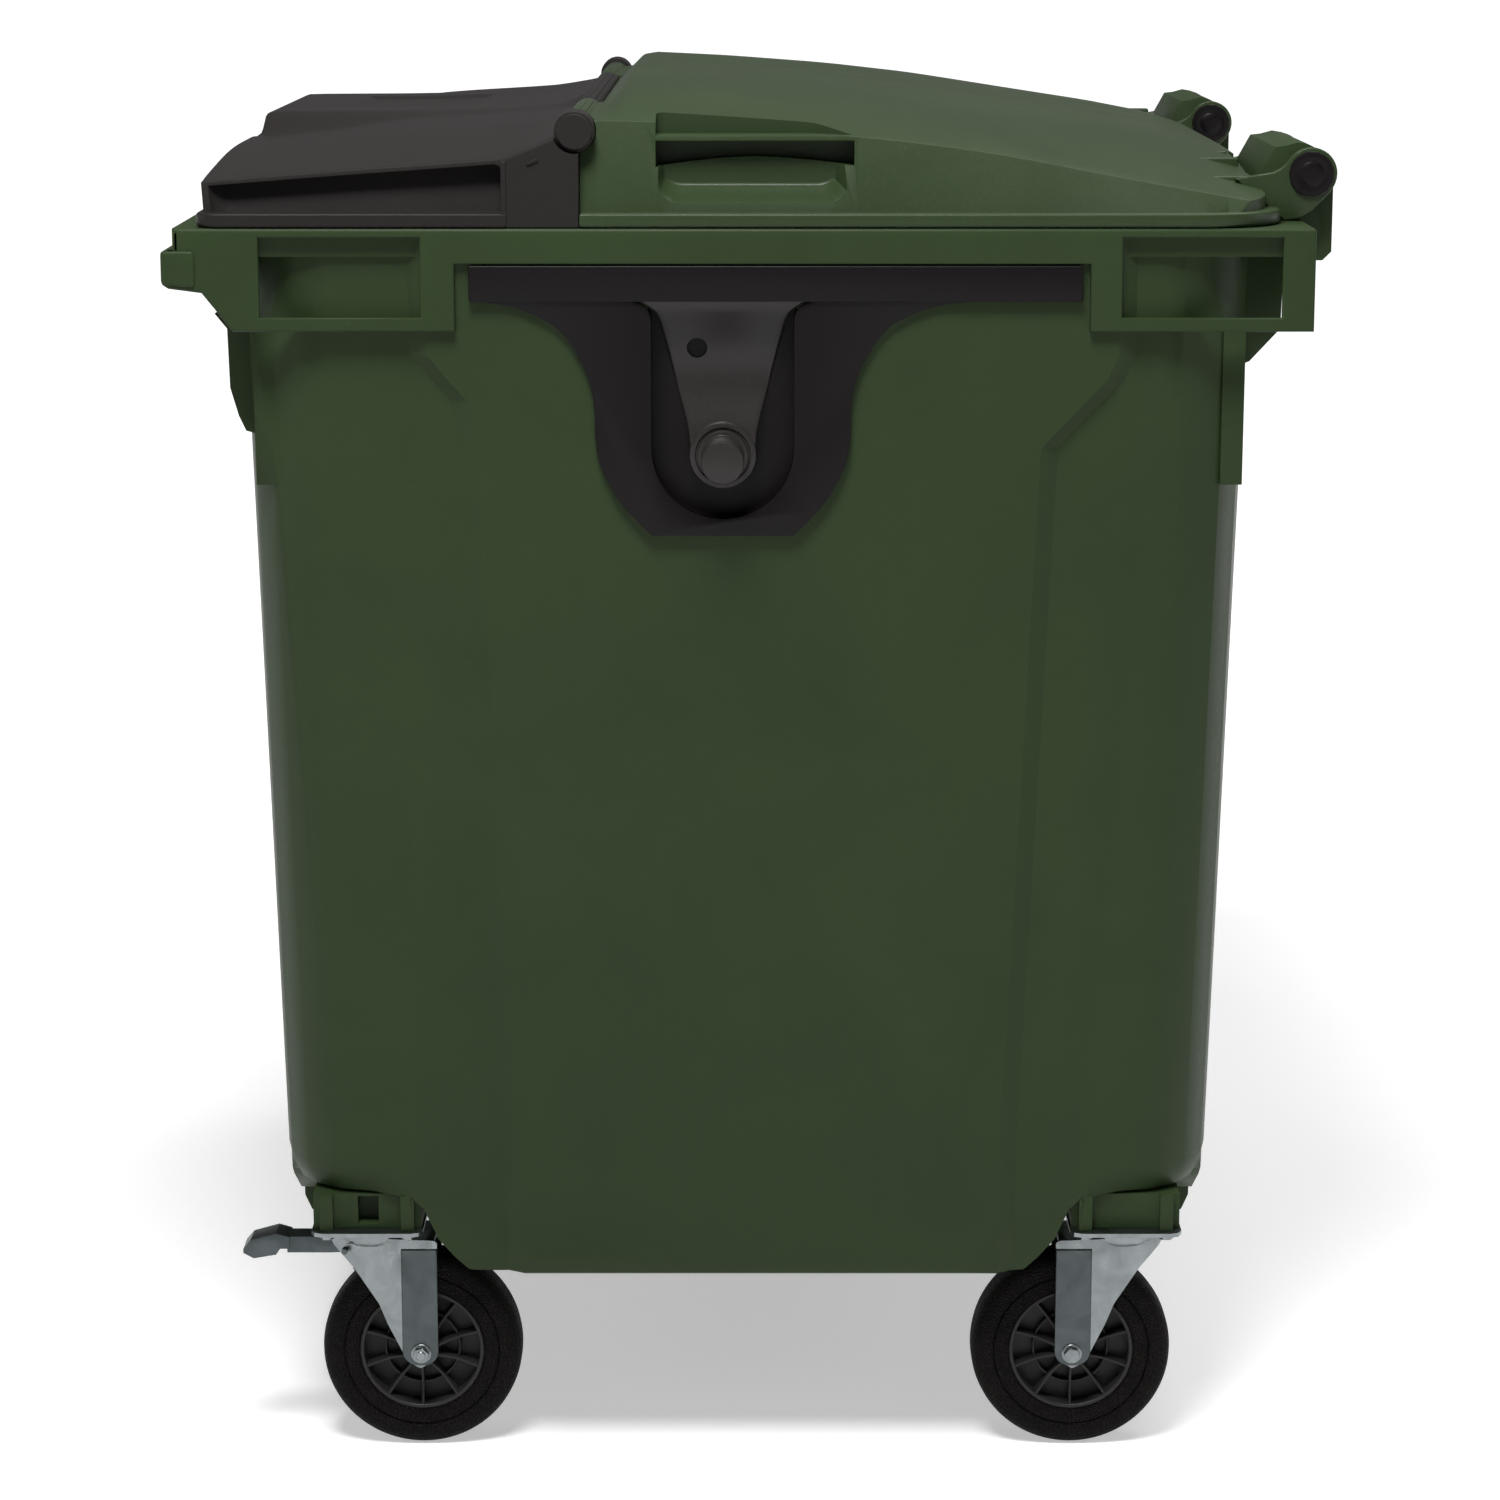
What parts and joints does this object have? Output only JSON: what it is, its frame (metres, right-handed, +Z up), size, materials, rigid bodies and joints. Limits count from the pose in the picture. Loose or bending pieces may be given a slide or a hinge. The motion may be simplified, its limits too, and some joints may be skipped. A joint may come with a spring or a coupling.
{
  "type": "wheeled waste container",
  "caption": "Large waste container on swivel castors: a tapered tub with trunnions, comb bar and corner grips, and an arched lid that carries a smaller hinged front lid.",
  "frame": {"origin": "on the ground, under the middle of the container's bounding box", "axes": "+Z up, -Y towards the front with the small lid, +X to the right of someone who stands at the front, along the axis of the trunnions"},
  "size_m": [1.37, 1.105, 1.3532],
  "materials": {
    "tub_green": "dark green moulded polyethylene, fine grain, slight sheen",
    "lid_green": "green moulded polyethylene, fine grain, slight sheen",
    "lid_dark": "dark brown grey moulded polyethylene, fine grain",
    "black_plastic": "black moulded plastic, satin",
    "zinc": "bright zinc plating on pressed steel",
    "wheel_plastic": "black nylon, satin",
    "tyre_rubber": "solid black rubber",
    "bearing_steel": "plain ground steel"
  },
  "bodies": {
    "container": {"container_body": "tub_green", "drain_plug": "black_plastic", "trunnion_plate_left": "black_plastic", "trunnion_pin_left": "black_plastic", "trunnion_bolt_left_1": "zinc", "trunnion_bolt_left_2": "zinc", "trunnion_bolt_left_3": "zinc", "trunnion_bolt_left_4": "zinc", "trunnion_plate_right": "black_plastic", "trunnion_pin_right": "black_plastic", "trunnion_bolt_right_1": "zinc", "trunnion_bolt_right_2": "zinc", "trunnion_bolt_right_3": "zinc", "trunnion_bolt_right_4": "zinc", "front_left_plate": "zinc", "front_left_kingpin": "bearing_steel", "front_left_ball_ring": "bearing_steel", "front_right_plate": "zinc", "front_right_kingpin": "bearing_steel", "front_right_ball_ring": "bearing_steel", "rear_left_plate": "zinc", "rear_left_kingpin": "bearing_steel", "rear_left_ball_ring": "bearing_steel", "rear_right_plate": "zinc", "rear_right_kingpin": "bearing_steel", "rear_right_ball_ring": "bearing_steel"},
    "main_lid": {"main_lid": "lid_green", "hinge_pin_inner_left": "black_plastic", "hinge_pin_outer_left": "black_plastic", "hinge_pin_inner_right": "black_plastic", "hinge_pin_outer_right": "black_plastic"},
    "front_lid": {"front_lid": "lid_dark", "front_lid_pin_left": "black_plastic", "front_lid_pin_right": "black_plastic"},
    "front_left_castor": {"front_left_fork": "zinc", "front_left_bush": "bearing_steel", "front_left_axle_bolt": "zinc", "front_left_axle_nut": "zinc"},
    "front_left_wheel": {"front_left_hub": "wheel_plastic", "front_left_tyre": "tyre_rubber"},
    "front_left_pedal": {"front_left_brake_pedal": "zinc"},
    "front_right_castor": {"front_right_fork": "zinc", "front_right_bush": "bearing_steel", "front_right_axle_bolt": "zinc", "front_right_axle_nut": "zinc"},
    "front_right_wheel": {"front_right_hub": "wheel_plastic", "front_right_tyre": "tyre_rubber"},
    "front_right_pedal": {"front_right_brake_pedal": "zinc"},
    "rear_left_castor": {"rear_left_fork": "zinc", "rear_left_bush": "bearing_steel", "rear_left_axle_bolt": "zinc", "rear_left_axle_nut": "zinc"},
    "rear_left_wheel": {"rear_left_hub": "wheel_plastic", "rear_left_tyre": "tyre_rubber"},
    "rear_right_castor": {"rear_right_fork": "zinc", "rear_right_bush": "bearing_steel", "rear_right_axle_bolt": "zinc", "rear_right_axle_nut": "zinc"},
    "rear_right_wheel": {"rear_right_hub": "wheel_plastic", "rear_right_tyre": "tyre_rubber"}
  },
  "joints": [
    {"name": "main_lid_hinge", "type": "hinge", "parent": "container", "child": "main_lid", "pos_m": [0, 0.5278, 1.2686], "axis": [-1, 0, 0], "range_deg": [0, 235]},
    {"name": "front_lid_hinge", "type": "hinge", "parent": "main_lid", "child": "front_lid", "pos_m": [0, -0.1671, 1.3125], "axis": [-1, 0, 0], "range_deg": [0, 100]},
    {"name": "front_left_swivel", "type": "hinge", "parent": "container", "child": "front_left_castor", "pos_m": [-0.553, -0.3821, 0.2], "axis": [0, 0, 1], "range_deg": [-120, 120]},
    {"name": "front_left_roll", "type": "hinge", "parent": "front_left_castor", "child": "front_left_wheel", "pos_m": [-0.553, -0.3328, 0.1], "axis": [1, 0, 0], "continuous": true},
    {"name": "front_left_brake", "type": "hinge", "parent": "front_left_castor", "child": "front_left_pedal", "pos_m": [-0.553, -0.4076, 0.2062], "axis": [1, 0, 0], "range_deg": [0, 15]},
    {"name": "front_right_swivel", "type": "hinge", "parent": "container", "child": "front_right_castor", "pos_m": [0.553, -0.3821, 0.2], "axis": [0, 0, 1], "range_deg": [-120, 120]},
    {"name": "front_right_roll", "type": "hinge", "parent": "front_right_castor", "child": "front_right_wheel", "pos_m": [0.553, -0.3328, 0.1], "axis": [1, 0, 0], "continuous": true},
    {"name": "front_right_brake", "type": "hinge", "parent": "front_right_castor", "child": "front_right_pedal", "pos_m": [0.553, -0.4076, 0.2062], "axis": [1, 0, 0], "range_deg": [0, 15]},
    {"name": "rear_left_swivel", "type": "hinge", "parent": "container", "child": "rear_left_castor", "pos_m": [-0.553, 0.3669, 0.2], "axis": [0, 0, 1], "continuous": true},
    {"name": "rear_left_roll", "type": "hinge", "parent": "rear_left_castor", "child": "rear_left_wheel", "pos_m": [-0.553, 0.3176, 0.1], "axis": [1, 0, 0], "continuous": true},
    {"name": "rear_right_swivel", "type": "hinge", "parent": "container", "child": "rear_right_castor", "pos_m": [0.553, 0.3669, 0.2], "axis": [0, 0, 1], "continuous": true},
    {"name": "rear_right_roll", "type": "hinge", "parent": "rear_right_castor", "child": "rear_right_wheel", "pos_m": [0.553, 0.3176, 0.1], "axis": [1, 0, 0], "continuous": true}
  ]
}
